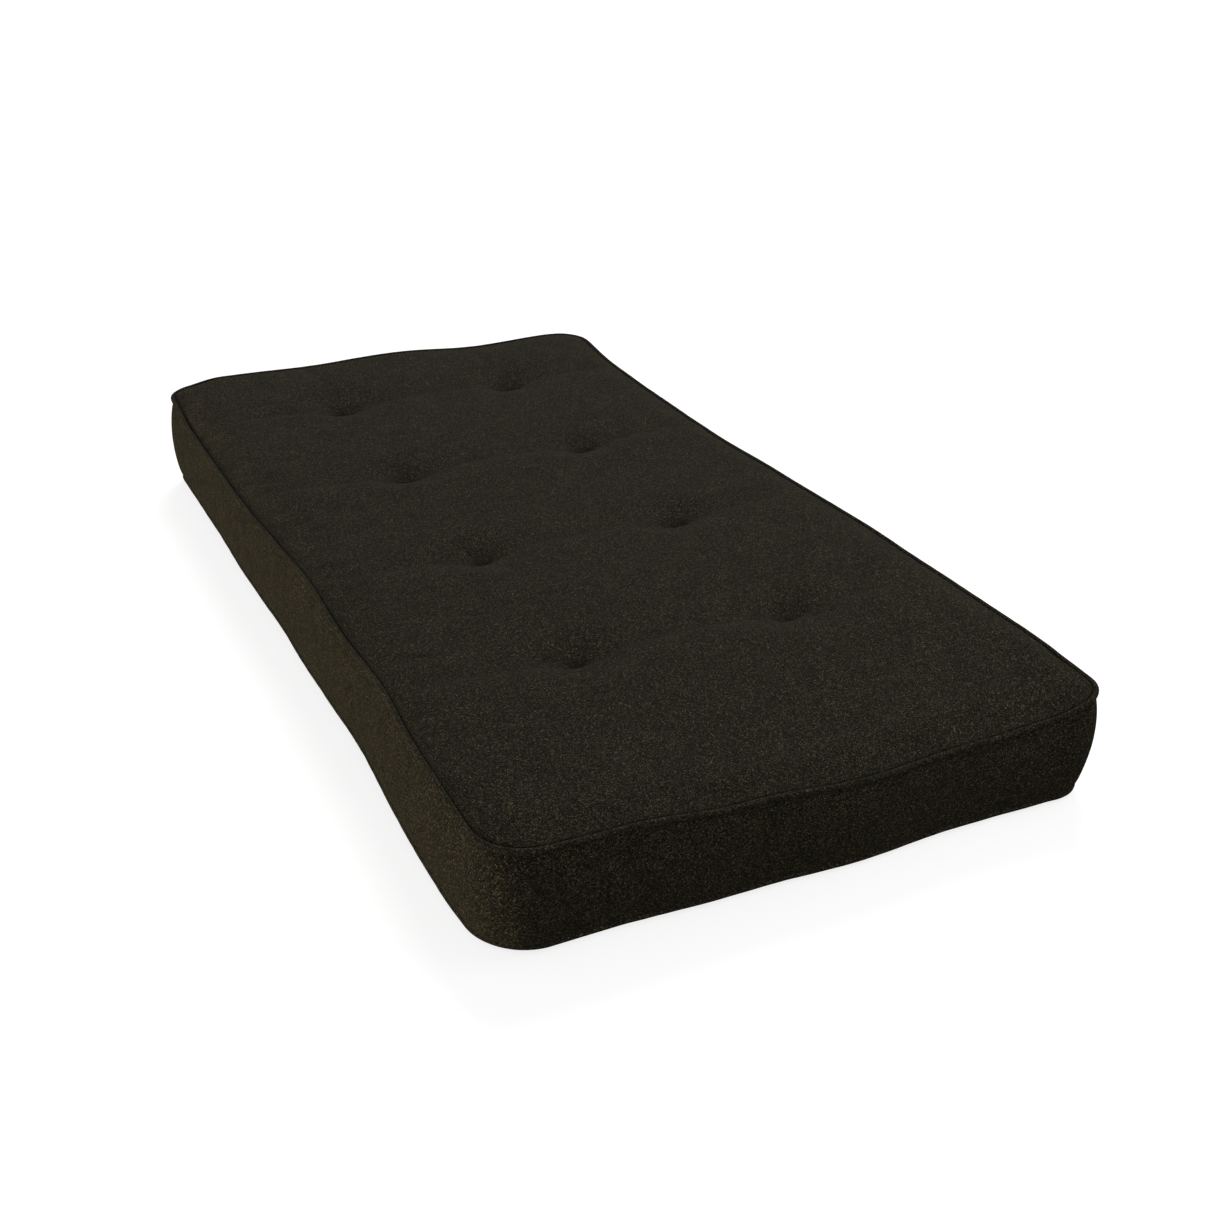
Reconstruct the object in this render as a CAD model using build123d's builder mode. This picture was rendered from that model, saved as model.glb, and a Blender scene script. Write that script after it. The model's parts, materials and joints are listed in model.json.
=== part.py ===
from build123d import *
import os

# Twin futon mattress, 75 x 39 x 8 in: a boxed, piped and through-tufted casing
# around layers of batting and foam. Millimetres, +Z up, origin at the centre of
# the underside, +X along the length towards the seat end.
#
# The mattress bends on one line across its width, between the middle tuft rows.
# Every layer that crosses that line is made as two solids, a seat half on +X
# and a back half on -X, parted by a hair's gap on the fold plane.

# Overall size, to the outside of the piping and the crown of the panels
length = 1905
width = 990
height = 203

# Casing
fabric_thickness = 1.5
corner_radius = 70
top_shoulder = 20
bottom_shoulder = 4

# Piping along both edges of the boxing
piping_diameter = 9.5
piping_fabric = 1.2
piping_proud = 3
piping_below_top = 25
piping_above_floor = 10

# Filling
foam_thickness = 50
middle_batting_thickness = 27

# Tufts: four rows of two ties, each dimple as wide as a share of the closer spacing
tuft_rows = 4
tuft_share = 0.3
back_margin = 271
seat_margin = 410
side_margin = 304
tuft_floor_radius = 7
top_tuft_depth = 32
bottom_tuft_depth = 17
top_batting_at_tuft = 16
bottom_batting_at_tuft = 30
twine_diameter = 2.2
twine_span = 10
knot_diameter = 5
knot_length = 4

# Bell curve of a dimple: how far its two control points stand out, and how deep the first is
steep_reach = 0.22
steep_depth = 0.35
gentle_reach = 0.5

# Clearances
layer_gap = 0.3
twine_gap = 0.3
fold_gap = 0.6

# Places worked out from the sizes above
casing_length = length - 2 * piping_proud
casing_width = width - 2 * piping_proud
piping_radius = piping_diameter / 2
piping_inset = piping_radius - piping_proud
top_piping_height = height - piping_below_top
bottom_piping_height = piping_above_floor
filling_inset = fabric_thickness + layer_gap
filling_top = height - filling_inset
filling_bottom = filling_inset
middle = height / 2
lower_foam_top = middle - middle_batting_thickness / 2 - layer_gap
upper_foam_bottom = middle + middle_batting_thickness / 2 + layer_gap
lower_foam_bottom = lower_foam_top - foam_thickness
upper_foam_top = upper_foam_bottom + foam_thickness
upper_foam_tuft_depth = top_tuft_depth + top_batting_at_tuft + layer_gap - (
    filling_top - upper_foam_top
)
lower_foam_tuft_depth = bottom_tuft_depth + bottom_batting_at_tuft + layer_gap - (
    lower_foam_bottom - filling_bottom
)
row_pitch = (length - back_margin - seat_margin) / (tuft_rows - 1)
row_places = [back_margin - length / 2 + row * row_pitch for row in range(tuft_rows)]
column_spacing = width - 2 * side_margin
column_places = [-column_spacing / 2, column_spacing / 2]
tuft_radius = tuft_share * min(column_spacing, row_pitch)
fold_place = (row_places[1] + row_places[2]) / 2
twine_seat = twine_diameter / 2 + twine_gap
knot_height = bottom_tuft_depth - twine_gap - knot_diameter / 2

# The two halves: the sign of the side of the fold that each lies on
HALVES = {"seat": 1, "back": -1}


def tuft_places(half=None):
    """Centres of the tufts in plan, of the whole mattress or of one half."""
    rows = [x for x in row_places if half is None or HALVES[half] * (x - fold_place) > 0]
    return [(x, y) for x in rows for y in column_places]


def dimple(surface, depth, upward):
    """The bell-shaped room over one tuft: cut from the surface down, or up from below."""
    sign = 1 if upward else -1
    floor = (tuft_floor_radius, surface + sign * depth)
    rim = (tuft_radius, surface)
    clear = surface - sign * depth
    with BuildPart() as room:
        with BuildSketch(Plane.XZ):
            with BuildLine():
                Line((0, floor[1]), floor)
                Bezier(
                    floor,
                    (steep_reach * tuft_radius, surface + sign * steep_depth * depth),
                    (gentle_reach * tuft_radius, surface),
                    rim,
                )
                Line(rim, (tuft_radius, clear))
                Line((tuft_radius, clear), (0, clear))
                Line((0, clear), (0, floor[1]))
            make_face()
        revolve(axis=Axis.Z)
    return room.part


def block(inset, bottom, top, bottom_round=0, top_round=0):
    """A slab of the mattress's outline, set in all round, with rounded long edges."""
    with BuildPart() as slab:
        with BuildSketch(Plane.XY.offset(bottom)):
            RectangleRounded(
                casing_length - 2 * inset, casing_width - 2 * inset, corner_radius - inset
            )
        extrude(amount=top - bottom)
        if top_round:
            fillet(slab.edges().group_by(Axis.Z)[-1], top_round)
        if bottom_round:
            fillet(slab.edges().group_by(Axis.Z)[0], bottom_round)
    return slab.part


def dimpled(slab, top=None, top_depth=0, bottom=None, bottom_depth=0):
    """The slab with a dimple over, or under, every tuft."""
    with BuildPart() as cushioned:
        add(slab)
        if top_depth:
            with Locations(*tuft_places()):
                add(dimple(top, top_depth, upward=False), mode=Mode.SUBTRACT)
        if bottom_depth:
            with Locations(*tuft_places()):
                add(dimple(bottom, bottom_depth, upward=True), mode=Mode.SUBTRACT)
    return cushioned.part


def piping_ring(half, height_at, radius):
    """A round bar along the piping's route, from the fold round one end and back."""
    side = HALVES[half]
    start = fold_place + side * fold_gap / 2
    end = side * (casing_length / 2 - piping_inset)
    edge = casing_width / 2 - piping_inset
    route = [(start, -edge, height_at), (end, -edge, height_at)]
    route += [(end, edge, height_at), (start, edge, height_at)]
    with BuildPart() as ring:
        with BuildLine() as path:
            FilletPolyline(*route, radius=corner_radius - piping_inset)
        with BuildSketch(Plane(origin=route[0], z_dir=(side, 0, 0))):
            Circle(radius)
        sweep(path=path.line)
    return ring.part


def needle_holes(half):
    """Room for both strands of every tie, right through the mattress."""
    with BuildPart() as holes:
        with BuildSketch(Plane.XY.offset(-height)):
            with Locations(*tuft_places(half)):
                with GridLocations(0, twine_span, 1, 2):
                    Circle(twine_diameter / 2 + twine_gap)
        extrude(amount=3 * height)
    return holes.part


def twine_bend(turn_height):
    """Twine from mid-height along one strand, over the turn and back along the other."""
    side = twine_span / 2
    route = [(0, -side, middle), (0, -side, turn_height)]
    route += [(0, side, turn_height), (0, side, middle)]
    with BuildPart() as bend:
        with BuildLine() as path:
            FilletPolyline(*route, radius=twine_diameter)
        with BuildSketch(Plane(origin=route[0], z_dir=(0, 0, 1))):
            Circle(twine_diameter / 2)
        sweep(path=path.line)
    return bend.part


def half_space(half):
    """Everything on one side of the fold, less half the gap."""
    side = HALVES[half]
    with BuildPart() as space:
        with Locations((fold_place + side * (fold_gap / 2 + length), 0, middle)):
            Box(2 * length, 2 * width, 2 * height)
    return space.part


def halved(layer, half):
    """One half of a layer, clear of the piping and pierced for the ties."""
    with BuildPart() as piece:
        add(layer)
        add(half_space(half), mode=Mode.INTERSECT)
        for height_at in (top_piping_height, bottom_piping_height):
            add(piping_ring(half, height_at, piping_radius + layer_gap), mode=Mode.SUBTRACT)
        add(needle_holes(half), mode=Mode.SUBTRACT)
    return piece.part


def save(part, name):
    """Label one finished piece and write its file."""
    part.label = name
    export_step(part, f"parts/{name}.step")


# The filling, from the top down, as slabs of the whole mattress
upper_outline = dimpled(
    block(filling_inset, middle, filling_top, top_round=top_shoulder - filling_inset),
    top=filling_top,
    top_depth=top_tuft_depth,
)
upper_foam_outline = dimpled(
    block(filling_inset, middle - layer_gap, upper_foam_top),
    top=upper_foam_top,
    top_depth=upper_foam_tuft_depth,
)
lower_outline = dimpled(
    block(filling_inset, filling_bottom, middle, bottom_round=bottom_shoulder - filling_inset),
    bottom=filling_bottom,
    bottom_depth=bottom_tuft_depth,
)
lower_foam_outline = dimpled(
    block(filling_inset, lower_foam_bottom, middle + layer_gap),
    bottom=lower_foam_bottom,
    bottom_depth=lower_foam_tuft_depth,
)

# The batting keeps a gap off the foam that it covers
upper_foam_room = Pos(0, 0, layer_gap) * upper_foam_outline
lower_foam_room = Pos(0, 0, -layer_gap) * lower_foam_outline

# The casing's outer and inner faces, whose difference is one thickness of fabric
casing_outside = dimpled(
    block(0, 0, height, bottom_shoulder, top_shoulder),
    top=height,
    top_depth=top_tuft_depth,
    bottom=0,
    bottom_depth=bottom_tuft_depth,
)
casing_inside = dimpled(
    block(
        fabric_thickness,
        fabric_thickness,
        height - fabric_thickness,
        bottom_shoulder - fabric_thickness,
        top_shoulder - fabric_thickness,
    ),
    top=height - fabric_thickness,
    top_depth=top_tuft_depth,
    bottom=fabric_thickness,
    bottom_depth=bottom_tuft_depth,
)

os.makedirs("parts", exist_ok=True)

for half in HALVES:
    # Casing: the piping's room parts the fabric into top panel, boxing and bottom panel
    with BuildPart() as casing:
        add(casing_outside)
        add(casing_inside, mode=Mode.SUBTRACT)
    casing_half = halved(casing.part, half)
    bottom_panel, boxing, top_panel = casing_half.solids().sort_by(Axis.Z)
    for panel_name, panel in (
        ("top_panel", top_panel),
        ("boxing", boxing),
        ("bottom_panel", bottom_panel),
    ):
        with BuildPart() as casing_panel:
            add(panel)
        save(casing_panel.part, f"{panel_name}_{half}")

    # Piping: a folded fabric strip round a filler cord, on the top and bottom seams
    for edge_name, height_at in (("top", top_piping_height), ("bottom", bottom_piping_height)):
        with BuildPart() as piping_cord:
            add(piping_ring(half, height_at, piping_radius - piping_fabric - layer_gap))
        save(piping_cord.part, f"{edge_name}_piping_cord_{half}")

        with BuildPart() as piping_cover:
            add(piping_ring(half, height_at, piping_radius))
            add(piping_ring(half, height_at, piping_radius - piping_fabric), mode=Mode.SUBTRACT)
        save(piping_cover.part, f"{edge_name}_piping_cover_{half}")

    # Top batting, from the casing down to the upper foam
    with BuildPart() as top_batting:
        add(upper_outline)
        add(upper_foam_room, mode=Mode.SUBTRACT)
    save(halved(top_batting.part, half), f"top_batting_{half}")

    # Upper foam slab
    with BuildPart() as upper_foam:
        add(upper_foam_outline)
        add(block(0, 0, upper_foam_bottom), mode=Mode.SUBTRACT)
    save(halved(upper_foam.part, half), f"upper_foam_{half}")

    # Middle batting, flat between the two foam slabs
    with BuildPart() as middle_batting:
        add(block(filling_inset, lower_foam_top + layer_gap, upper_foam_bottom - layer_gap))
    save(halved(middle_batting.part, half), f"middle_batting_{half}")

    # Lower foam slab
    with BuildPart() as lower_foam:
        add(lower_foam_outline)
        add(block(0, lower_foam_top, height), mode=Mode.SUBTRACT)
    save(halved(lower_foam.part, half), f"lower_foam_{half}")

    # Bottom batting, from the lower foam down to the casing
    with BuildPart() as bottom_batting:
        add(lower_outline)
        add(lower_foam_room, mode=Mode.SUBTRACT)
    save(halved(bottom_batting.part, half), f"bottom_batting_{half}")

    # Tuft ties: a closed loop of twine through every layer, knotted underneath
    with BuildPart() as tuft_tie:
        add(twine_bend(height - top_tuft_depth + twine_seat))
        add(twine_bend(knot_height))
        with BuildSketch(Plane(origin=(0, -knot_length / 2, knot_height), z_dir=(0, 1, 0))):
            Circle(knot_diameter / 2)
        extrude(amount=knot_length)
    with BuildPart() as tuft_ties:
        with Locations(*tuft_places(half)):
            add(tuft_tie.part)
    save(tuft_ties.part, f"tuft_ties_{half}")
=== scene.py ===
import json
import math

import bmesh
import bpy
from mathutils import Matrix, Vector, noise
from mathutils.bvhtree import BVHTree


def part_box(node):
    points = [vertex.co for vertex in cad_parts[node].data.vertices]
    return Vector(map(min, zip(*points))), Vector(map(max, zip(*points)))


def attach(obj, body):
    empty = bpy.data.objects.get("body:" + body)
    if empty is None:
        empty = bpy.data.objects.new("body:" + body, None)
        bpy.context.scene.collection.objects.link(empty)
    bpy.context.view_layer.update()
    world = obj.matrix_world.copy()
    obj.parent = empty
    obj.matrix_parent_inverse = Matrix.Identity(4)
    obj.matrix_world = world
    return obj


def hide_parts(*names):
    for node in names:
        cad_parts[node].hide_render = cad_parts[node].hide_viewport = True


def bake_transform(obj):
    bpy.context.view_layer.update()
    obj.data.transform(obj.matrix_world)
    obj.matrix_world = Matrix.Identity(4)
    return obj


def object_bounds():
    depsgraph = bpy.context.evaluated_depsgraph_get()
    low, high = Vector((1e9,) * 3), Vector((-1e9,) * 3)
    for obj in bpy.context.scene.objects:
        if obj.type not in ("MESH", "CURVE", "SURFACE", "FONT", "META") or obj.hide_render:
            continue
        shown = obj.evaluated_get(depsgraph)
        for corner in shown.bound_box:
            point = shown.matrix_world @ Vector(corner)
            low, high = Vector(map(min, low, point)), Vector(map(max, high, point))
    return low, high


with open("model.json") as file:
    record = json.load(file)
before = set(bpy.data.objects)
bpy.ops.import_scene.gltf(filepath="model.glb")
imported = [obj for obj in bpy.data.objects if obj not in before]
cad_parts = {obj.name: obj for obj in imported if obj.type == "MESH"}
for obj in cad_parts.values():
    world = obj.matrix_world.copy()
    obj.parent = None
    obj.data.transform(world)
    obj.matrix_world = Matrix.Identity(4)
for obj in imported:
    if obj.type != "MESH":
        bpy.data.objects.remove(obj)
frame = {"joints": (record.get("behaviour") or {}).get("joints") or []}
cad_low, cad_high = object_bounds()

# Futon mattress: a boxed and piped cover of dark heathered cloth over batting and foam,
# tufted right through. Metres, +X towards the seat end, +Y across, +Z up.

MM = 0.001

# Overall size, from the frame
HALF_LENGTH = cad_high.x
HALF_WIDTH = cad_high.y
HEIGHT = cad_high.z

# The fold: one line across the width, on the crown of the top face
FOLD = Vector(frame["joints"][0]["pos_m"])
FOLD_REACH = 120 * MM

# Tufts, from the ties' boxes: rows along X, columns across Y
TWINE_DIAMETER = 2.2 * MM
TWINE_SPAN = 10 * MM
TWINE_GAP = 0.3 * MM
KNOT_HALF = 2.5 * MM
TUFT_ROWS = []
for half in ("back", "seat"):
    tie_low, tie_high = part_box(f"tuft_ties_{half}")
    TUFT_ROWS += [tie_low.x + KNOT_HALF, tie_high.x - KNOT_HALF]
TUFT_COLUMN = tie_high.y - TWINE_SPAN / 2 - TWINE_DIAMETER / 2
TUFTS = [Vector((x, side * TUFT_COLUMN)) for x in TUFT_ROWS for side in (-1, 1)]
TOP_TUFT = tie_high.z - TWINE_DIAMETER - TWINE_GAP
UNDER_TUFT = tie_low.z + 5 * MM

# Piping, from the frame
top_piping_low, top_piping_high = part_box("top_piping_cover_seat")
bottom_piping_low, bottom_piping_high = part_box("bottom_piping_cover_seat")
PIPING_RADIUS = (top_piping_high.z - top_piping_low.z) / 2
TOP_SEAM = (top_piping_high.z + top_piping_low.z) / 2
BOTTOM_SEAM = (bottom_piping_high.z + bottom_piping_low.z) / 2

# Cover
CLOTH_THICKNESS = 1.5 * MM
PIPING_CLOTH = 1.2 * MM
GRID_STEP = 14 * MM
# Corner radii in plan at the top seam and the bottom one, by the signs of X and Y
TOP_CORNERS = {(1, -1): 74 * MM, (1, 1): 44 * MM, (-1, -1): 40 * MM, (-1, 1): 56 * MM}
UNDER_CORNERS = {(1, -1): 86 * MM, (1, 1): 66 * MM, (-1, -1): 54 * MM, (-1, 1): 60 * MM}
SEAM_INSET = 6.5 * MM
# The panels' outer rings, by how far they are inside the seam
RING_INSETS = (30 * MM, 20 * MM, 12 * MM, 5.5 * MM, 0)
SEAM_GROOVE = 2 * MM
PIPING_OUT = 4.3 * MM
UNDER_PIPING_OUT = -1 * MM
BAND_ROWS = 12
TOP_SHOULDER = 52 * MM
UNDER_SHOULDER = 26 * MM
BAND_BULGE = 4.5 * MM
CORNER_BULGE = 9 * MM
SEAM_LEVEL = len(RING_INSETS) - 1
LEVELS = 2 * SEAM_LEVEL + BAND_ROWS
GRID_X = round(2 * (HALF_LENGTH - RING_INSETS[0]) / GRID_STEP)
GRID_Y = round(2 * (HALF_WIDTH - RING_INSETS[0]) / GRID_STEP)

# How far the filling may push the cloth, and how long it is left to
FILL_LIMIT = 8 * MM
FILL_STEPS = 20

# Slow unevenness of the seams and faces
SEAM_WAVER = 1.5 * MM
SIDE_WAVER = 2.5 * MM
TOP_WAVER = 1.6 * MM
UNDER_WAVER = 2.5 * MM


def smooth(t):
    """Smooth step from 0 to 1."""
    t = max(0.0, min(1.0, t))
    return t * t * (3 - 2 * t)


def along(knots, x):
    """Smooth curve through a few (place, value) pairs."""
    if x <= knots[0][0]:
        return knots[0][1]
    for (x0, v0), (x1, v1) in zip(knots, knots[1:]):
        if x <= x1:
            return v0 + (v1 - v0) * smooth((x - x0) / (x1 - x0))
    return knots[-1][1]


def wander(x, y, size, seed):
    """Slow unevenness from -1 to 1, about that size across."""
    return noise.noise(Vector((x / size, y / size, seed * 7.31)))


# How this mattress has settled out of true, as knots of (place, millimetres): each side's push
# outwards, by the place along it, and the top seam's lift
RIGHT_SIDE = (
    (-0.95, -14), (-0.60, -13), (-0.25, -12), (0.00, 2),
    (0.35, 16), (0.80, 16), (0.95, 12),
)
LEFT_SIDE = ((-0.95, 15), (-0.50, 16), (0.00, 9), (0.35, 6), (0.70, 19), (0.95, 18))
LEFT_LEAN = (
    (-0.90, -1), (-0.75, 3), (-0.25, 1), (0.05, -9),
    (0.30, -4), (0.52, -11), (0.72, -7), (0.95, -10),
)
NEAR_END = (
    (-0.49, 12), (-0.30, 9), (-0.10, 12), (0.05, 17),
    (0.25, 5), (0.40, 5), (0.49, 12),
)
FAR_END = ((-0.49, 12), (-0.38, 18), (-0.10, 16), (0.05, 18), (0.20, 10), (0.49, 6))
SIDE_REACH = 0.22
LEFT_LIFT = (
    (-0.80, -2), (-0.30, 2), (-0.10, 6), (0.10, 16),
    (0.32, 6), (0.52, 16), (0.72, 14), (0.95, 10),
)
RIGHT_LIFT = ((-0.95, 8), (-0.60, 3), (-0.20, 3), (0.10, 7), (0.80, 12))
NEAR_LIFT = (
    (-0.49, -2), (-0.30, -7), (-0.12, -20), (0.10, -30),
    (0.30, -26), (0.40, -20), (0.49, 5),
)
FAR_LIFT = (
    (-0.49, 16), (-0.38, 31), (-0.20, 28), (0.00, 32),
    (0.22, 22), (0.40, 27), (0.49, 22),
)
FAR_CROWN = 6 * MM
FAR_CROWN_START = 0.62
FAR_CROWN_RUN = 0.2
NEAR_FALL_START = 0.56
NEAR_FALL_SHARE = 0.8
NEAR_SHOULDER = 6 * MM
NEAR_LEFT_CORNER = Vector((HALF_LENGTH, -HALF_WIDTH))
NEAR_LEFT_REACH = 190 * MM
NEAR_LEFT_TUCK = 8 * MM


def nearness(x, y):
    """How near a place is to the left side, right side, near end and far end, each 0 to 1."""
    return (
        smooth((-y - HALF_WIDTH + SIDE_REACH) / SIDE_REACH),
        smooth((y - HALF_WIDTH + SIDE_REACH) / SIDE_REACH),
        smooth((x - HALF_LENGTH + SIDE_REACH) / SIDE_REACH),
        smooth((-x - HALF_LENGTH + SIDE_REACH) / SIDE_REACH),
    )


def seam_lift(x, y):
    """How far the top seam stands above its level."""
    left, right, near, far = nearness(x, y)
    sides = along(LEFT_LIFT, x) * left + along(RIGHT_LIFT, x) * right
    ends = along(NEAR_LIFT, y) * near + along(FAR_LIFT, y) * far
    lift = sides * (1 - near) * (1 - far) + ends
    return lift * MM + SEAM_WAVER * wander(x, y, 0.14, 3)


def settle(place):
    """Moves a place as this mattress has settled."""
    x, y, z = place
    left, right, near, far = nearness(x, y)
    low = 1 - z / HEIGHT
    lean = along(LEFT_LEAN, x) * (1 - low) ** 2
    dy = right * along(RIGHT_SIDE, x) - left * (along(LEFT_SIDE, x) + lean)
    dx = near * along(NEAR_END, y) - far * along(FAR_END, y)
    move = Vector((dx, dy, 0)) * MM
    move.x += SIDE_WAVER * wander(x, y, 0.16, 1) * (near + far) * (0.5 + low)
    move.y += SIDE_WAVER * wander(x, y, 0.18, 2) * (left + right) * (0.5 + low)
    reach = 1 - (place.xy - NEAR_LEFT_CORNER).length / NEAR_LEFT_REACH
    tuck = NEAR_LEFT_TUCK * smooth(reach) * (0.25 + low)
    move.x -= 0.5 * tuck
    move.y += 0.8 * tuck
    return place + move


def corner_radius(x, y, down):
    """The corner radius near a place, from the top seam's at 0 to the bottom one's at 1."""
    corner = (1 if x > 0 else -1, 1 if y > 0 else -1)
    top, under = TOP_CORNERS[corner], UNDER_CORNERS[corner]
    return top + (under - top) * smooth(down)


def rounded_plan(s, t, inset, down=0):
    """A place in plan: s and t run from -1 to 1 over a rounded rectangle set in from the seam."""
    half_x = HALF_LENGTH - SEAM_INSET - inset
    half_y = HALF_WIDTH - SEAM_INSET - inset
    radius = corner_radius(s, t, down) - inset
    x, y = s * half_x, t * half_y
    u = (abs(x) - half_x + radius) / radius
    v = (abs(y) - half_y + radius) / radius
    if u > 0 and v > 0:
        x = math.copysign(half_x - radius + radius * u * math.sqrt(1 - v * v / 2), x)
        y = math.copysign(half_y - radius + radius * v * math.sqrt(1 - u * u / 2), y)
    return x, y


def edge_distance(x, y, down=0):
    """How far a place in plan is inside the seam."""
    radius = corner_radius(x, y, down)
    qx = abs(x) - (HALF_LENGTH - SEAM_INSET - radius)
    qy = abs(y) - (HALF_WIDTH - SEAM_INSET - radius)
    outside = math.hypot(max(qx, 0), max(qy, 0)) + min(max(qx, qy), 0)
    return radius - outside


# Each tuft is a short slot across the mattress, in a crease that is steep on its near side
TUFT_CUSP = 12 * MM
SLOT_HALF = 7 * MM
STEEPER_BEFORE = 1.9
GENTLER_BEHIND = 0.75
ROW_BEHIND = 68 * MM
ROW_BEFORE = 12 * MM
ROW_DEPTH = 18 * MM
ROW_SPREAD = 70 * MM
ROW_ROUNDING = 10 * MM
ROW_LEAST = 0.2
CROWN_DROP = 3 * MM
FIELD_START = 10 * MM
FIELD_REACH = 120 * MM
UNDER_ROW_SHARE = 0.3


def tuft_pull(x, y):
    """Share of a tuft's whole depth at a place: a narrow slot that the ties draw down."""
    distances = []
    for tuft in TUFTS:
        dx, dy = x - tuft.x, max(0, abs(y - tuft.y) - SLOT_HALF)
        dx *= STEEPER_BEFORE if dx > 0 else GENTLER_BEHIND
        distances.append(math.hypot(dx, dy))
    return math.exp(-min(distances) / TUFT_CUSP)


def row_valley(x, y):
    """The crease through each row of tufts: 1 at the tufts, less between and beside them."""
    row = min(TUFT_ROWS, key=lambda place: abs(x - place))
    reach = ROW_BEFORE if x > row else ROW_BEHIND
    from_tuft = math.hypot(abs(y) - TUFT_COLUMN, ROW_ROUNDING) - ROW_ROUNDING
    beside = ROW_LEAST + (1 - ROW_LEAST) * math.exp(-from_tuft / ROW_SPREAD)
    return math.exp(-abs(x - row) / reach) * beside


def crown(x, y):
    """Height of the top panel's middle: highest at the far end, falling to the near one."""
    near_seam = TOP_SEAM + along(NEAR_LIFT, y) * MM + NEAR_SHOULDER
    fall = smooth((x - NEAR_FALL_START) / (HALF_LENGTH - NEAR_FALL_START) * NEAR_FALL_SHARE)
    level = HEIGHT - CROWN_DROP + FAR_CROWN * smooth((-x - FAR_CROWN_START) / FAR_CROWN_RUN)
    return level + (near_seam - level) * fall


def top_height(x, y):
    """Height of the top panel: a low crown between the rows, hollow at the tufts."""
    d = max(0, edge_distance(x, y))
    rise = (1 - (1 - min(1, d / TOP_SHOULDER)) ** 2) ** 0.75
    seam = TOP_SEAM + seam_lift(x, y)
    z = seam + (crown(x, y) - seam) * rise
    in_field = smooth((d - FIELD_START) / FIELD_REACH)
    z -= ROW_DEPTH * row_valley(x, y) * in_field
    z += TOP_WAVER * wander(x, y, 0.11, 4) * in_field
    return z + (TOP_TUFT - z) * tuft_pull(x, y)


def bottom_seam(x, y):
    """Height of the bottom seam."""
    return BOTTOM_SEAM + UNDER_WAVER * wander(x, y, 0.2, 5)


def under_height(x, y):
    """Height of the bottom panel: flat where it rests, drawn up at the tufts."""
    d = max(0, edge_distance(x, y, 1))
    rise = 1 - math.sqrt(1 - (1 - min(1, d / UNDER_SHOULDER)) ** 2)
    z = bottom_seam(x, y) * rise
    pull = tuft_pull(x, y)
    return z + (UNDER_TUFT - z) * (pull + UNDER_ROW_SHARE * (1 - pull) * row_valley(x, y))


def cage_place(s, t, level):
    """Where a point of the cage goes: level counts down from the top panel to the bottom."""
    from_end = min(level, LEVELS - level)
    if from_end < SEAM_LEVEL:
        on_top = level == from_end
        x, y = rounded_plan(s, t, RING_INSETS[from_end], 0 if on_top else 1)
        return settle(Vector((x, y, top_height(x, y) if on_top else under_height(x, y))))
    down = (level - SEAM_LEVEL) / BAND_ROWS
    left, right, near, far = nearness(*rounded_plan(s, t, 0))
    bulge = BAND_BULGE + CORNER_BULGE * (left + right) * (near + far)
    out = bulge * math.sin(math.pi * down) ** 0.8 if 0 < down < 1 else -SEAM_GROOVE
    x, y = rounded_plan(s, t, -out, down)
    top, bottom = TOP_SEAM + seam_lift(x, y), bottom_seam(x, y)
    return settle(Vector((x, y, top + (bottom - top) * down)))


def parts_of(geom, kind):
    """The vertices, edges or faces among an operator's results."""
    return [part for part in geom if isinstance(part, kind)]


def cage(columns, rows, levels):
    """A closed block in a space where X and Y are s and t and -Z is the level."""
    bm = bmesh.new()
    bmesh.ops.create_grid(bm, x_segments=columns, y_segments=rows, size=1)
    rim = [edge for edge in bm.edges if edge.is_boundary]
    for _ in range(levels // 2):
        grown = bmesh.ops.extrude_edge_only(bm, edges=rim)["geom"]
        bmesh.ops.translate(bm, verts=parts_of(grown, bmesh.types.BMVert), vec=(0, 0, -1))
        rim = [edge for edge in parts_of(grown, bmesh.types.BMEdge) if edge.is_boundary]
    whole = bm.verts[:] + bm.edges[:] + bm.faces[:]
    copied = bmesh.ops.duplicate(bm, geom=whole)["geom"]
    verts = parts_of(copied, bmesh.types.BMVert)
    bmesh.ops.scale(bm, verts=verts, vec=(1, 1, -1))
    bmesh.ops.translate(bm, verts=verts, vec=(0, 0, -levels))
    bmesh.ops.remove_doubles(bm, verts=bm.verts, dist=1e-5)
    bmesh.ops.recalc_face_normals(bm, faces=bm.faces)
    return bm


def add_piece(name, bm):
    """Makes an object of a mesh, smooth-shaded."""
    mesh = bpy.data.meshes.new(name)
    bm.to_mesh(mesh)
    bm.free()
    for polygon in mesh.polygons:
        polygon.use_smooth = True
    piece = bpy.data.objects.new(name, mesh)
    bpy.context.scene.collection.objects.link(piece)
    return piece


def discard(piece):
    """Removes an object and its mesh."""
    mesh = piece.data
    bpy.data.objects.remove(piece)
    bpy.data.meshes.remove(mesh)


TOP, BAND, UNDER = 0, 1, 2


def panel_of(face):
    """Which of the three pieces of the casing a face of the cage belongs to."""
    level = -face.calc_center_median().z
    if level < SEAM_LEVEL:
        return TOP
    return BAND if level < LEVELS - SEAM_LEVEL else UNDER


def cloth_inset(ring):
    """How far inside the seam's line in plan a ring of the panel lies once the cloth is flat."""
    flat = RING_INSETS[0]
    for outer, inner in zip(RING_INSETS[1 : ring + 1], RING_INSETS[:ring]):
        rises = [math.sqrt(1 - (1 - d / TOP_SHOULDER) ** 2) for d in (inner, outer)]
        flat -= math.hypot(inner - outer, (HEIGHT - TOP_SEAM) * (rises[0] - rises[1]))
    return flat


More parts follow.
